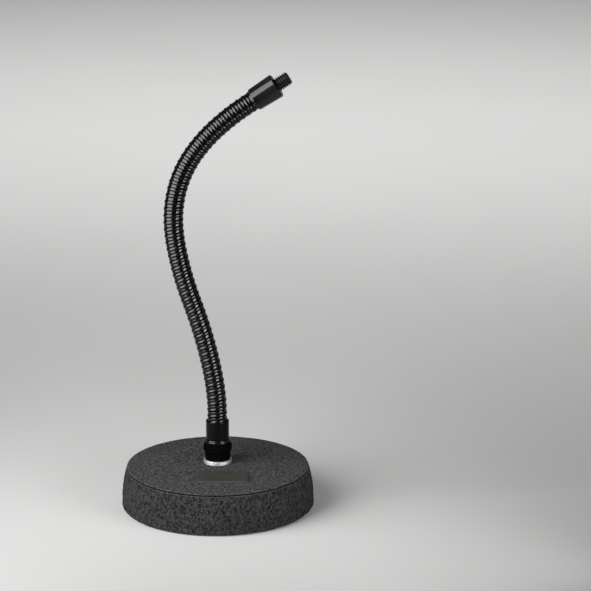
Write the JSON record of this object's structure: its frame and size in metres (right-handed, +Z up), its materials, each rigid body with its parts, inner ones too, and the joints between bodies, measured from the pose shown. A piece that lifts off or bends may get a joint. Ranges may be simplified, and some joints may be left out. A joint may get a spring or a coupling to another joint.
{
  "type": "desktop mic stand",
  "caption": "Desktop microphone stand with a round cast-iron base, a flexible steel gooseneck and a threaded stud for a microphone clip.",
  "frame": {"origin": "on the table, under the middle of the round base", "axes": "+Z up; the neck bends in the XZ plane at rest, and its top end leans towards +X; the badge is on the -Y side"},
  "size_m": [0.13, 0.13, 0.2966],
  "materials": {
    "cast_iron": "charcoal textured powder coat",
    "rubber": "matte black rubber",
    "badge": "dark satin plate, bare",
    "zinc": "bright zinc plate",
    "black_gloss": "gloss black lacquer on turned steel",
    "black_thread": "black oxide on cut thread",
    "round_wire": "gloss black steel wire",
    "wedge_wire": "gloss black triangular steel wire"
  },
  "bodies": {
    "base": {"badge_plate": "badge", "base_casting": "cast_iron", "base_nut": "zinc", "flat_washer": "zinc", "foot_fitting": "black_gloss", "lock_washer": "zinc", "lower_ferrule": "black_gloss", "round_wire_foot": "round_wire", "rubber_ring": "rubber", "wedge_wire_foot": "wedge_wire", "zinc_ring": "zinc"},
    "neck_link_01": {"round_wire_01": "round_wire", "wedge_wire_01": "wedge_wire"},
    "neck_link_02": {"round_wire_02": "round_wire", "wedge_wire_02": "wedge_wire"},
    "neck_link_03": {"round_wire_03": "round_wire", "wedge_wire_03": "wedge_wire"},
    "neck_link_04": {"round_wire_04": "round_wire", "wedge_wire_04": "wedge_wire"},
    "neck_link_05": {"round_wire_05": "round_wire", "wedge_wire_05": "wedge_wire"},
    "neck_link_06": {"round_wire_06": "round_wire", "wedge_wire_06": "wedge_wire"},
    "neck_link_07": {"round_wire_07": "round_wire", "wedge_wire_07": "wedge_wire"},
    "neck_link_08": {"round_wire_08": "round_wire", "wedge_wire_08": "wedge_wire"},
    "neck_link_09": {"round_wire_09": "round_wire", "wedge_wire_09": "wedge_wire"},
    "neck_link_10": {"round_wire_10": "round_wire", "wedge_wire_10": "wedge_wire"},
    "neck_link_11": {"round_wire_11": "round_wire", "wedge_wire_11": "wedge_wire"},
    "neck_link_12": {"round_wire_12": "round_wire", "wedge_wire_12": "wedge_wire"},
    "neck_link_13": {"round_wire_13": "round_wire", "wedge_wire_13": "wedge_wire"},
    "neck_link_14": {"round_wire_14": "round_wire", "wedge_wire_14": "wedge_wire"},
    "neck_link_15": {"round_wire_15": "round_wire", "wedge_wire_15": "wedge_wire"},
    "neck_link_16": {"round_wire_16": "round_wire", "wedge_wire_16": "wedge_wire"},
    "neck_link_17": {"round_wire_17": "round_wire", "wedge_wire_17": "wedge_wire"},
    "tip": {"round_wire_tip": "round_wire", "top_collar": "black_gloss", "top_stud": "black_thread", "wedge_wire_tip": "wedge_wire"}
  },
  "joints": [
    {"name": "neck_bend_01", "type": "hinge", "parent": "base", "child": "neck_link_01", "pos_m": [0, 0, 0.06863], "axis": [0.7065, 0.7071, 0.03], "range_deg": [-7.5, 14]},
    {"name": "neck_bend_02", "type": "hinge", "parent": "neck_link_01", "child": "neck_link_02", "pos_m": [-0.00112, 0, 0.08183], "axis": [-0.7019, 0.7071, -0.0854], "range_deg": [-8, 14]},
    {"name": "neck_bend_03", "type": "hinge", "parent": "neck_link_02", "child": "neck_link_03", "pos_m": [-0.0032, 0, 0.09492], "axis": [0.695, 0.7071, 0.1305], "range_deg": [-8.5, 13.5]},
    {"name": "neck_bend_04", "type": "hinge", "parent": "neck_link_03", "child": "neck_link_04", "pos_m": [-0.00601, 0, 0.10787], "axis": [-0.6877, 0.7071, -0.1644], "range_deg": [-9.5, 13]},
    {"name": "neck_bend_05", "type": "hinge", "parent": "neck_link_04", "child": "neck_link_05", "pos_m": [-0.00936, 0, 0.12069], "axis": [0.6803, 0.7071, 0.1929], "range_deg": [-9.5, 13]},
    {"name": "neck_bend_06", "type": "hinge", "parent": "neck_link_05", "child": "neck_link_06", "pos_m": [-0.01324, 0, 0.13336], "axis": [-0.6717, 0.7071, -0.221], "range_deg": [-9.5, 13]},
    {"name": "neck_bend_07", "type": "hinge", "parent": "neck_link_06", "child": "neck_link_07", "pos_m": [-0.01764, 0, 0.14585], "axis": [0.671, 0.7071, 0.2229], "range_deg": [-12.5, 9.5]},
    {"name": "neck_bend_08", "type": "hinge", "parent": "neck_link_07", "child": "neck_link_08", "pos_m": [-0.02159, 0, 0.1585], "axis": [-0.6811, 0.7071, -0.1899], "range_deg": [-13.5, 8.5]},
    {"name": "neck_bend_09", "type": "hinge", "parent": "neck_link_08", "child": "neck_link_09", "pos_m": [-0.02475, 0, 0.17136], "axis": [0.6915, 0.7071, 0.1476], "range_deg": [-13.5, 8.5]},
    {"name": "neck_bend_10", "type": "hinge", "parent": "neck_link_09", "child": "neck_link_10", "pos_m": [-0.02712, 0, 0.1844], "axis": [-0.7011, 0.7071, -0.0922], "range_deg": [-14.5, 6.5]},
    {"name": "neck_bend_11", "type": "hinge", "parent": "neck_link_10", "child": "neck_link_11", "pos_m": [-0.02821, 0, 0.1976], "axis": [0.7071, 0.7071, 0.0009], "range_deg": [-16, 2.5]},
    {"name": "neck_bend_12", "type": "hinge", "parent": "neck_link_11", "child": "neck_link_12", "pos_m": [-0.02715, 0, 0.21081], "axis": [-0.6979, 0.7071, 0.1135], "range_deg": [-16, 2.5]},
    {"name": "neck_bend_13", "type": "hinge", "parent": "neck_link_12", "child": "neck_link_13", "pos_m": [-0.02397, 0, 0.22367], "axis": [0.6686, 0.7071, -0.2302], "range_deg": [-16, 1.5]},
    {"name": "neck_bend_14", "type": "hinge", "parent": "neck_link_13", "child": "neck_link_14", "pos_m": [-0.01856, 0, 0.23577], "axis": [-0.6175, 0.7071, 0.3445], "range_deg": [-16, 1.5]},
    {"name": "neck_bend_15", "type": "hinge", "parent": "neck_link_14", "child": "neck_link_15", "pos_m": [-0.01111, 0, 0.24672], "axis": [0.5575, 0.7071, -0.435], "range_deg": [-15, 4.5]},
    {"name": "neck_bend_16", "type": "hinge", "parent": "neck_link_15", "child": "neck_link_16", "pos_m": [-0.00229, 0, 0.25661], "axis": [-0.4988, 0.7071, 0.5012], "range_deg": [-15, 5.5]},
    {"name": "neck_bend_17", "type": "hinge", "parent": "neck_link_16", "child": "neck_link_17", "pos_m": [0.00764, 0, 0.26538], "axis": [0.4491, 0.7071, -0.5462], "range_deg": [-13.5, 8]},
    {"name": "neck_bend_18", "type": "hinge", "parent": "neck_link_17", "child": "tip", "pos_m": [0.01816, 0, 0.27343], "axis": [-0.4078, 0.7071, 0.5777], "range_deg": [-14, 7.5]}
  ]
}
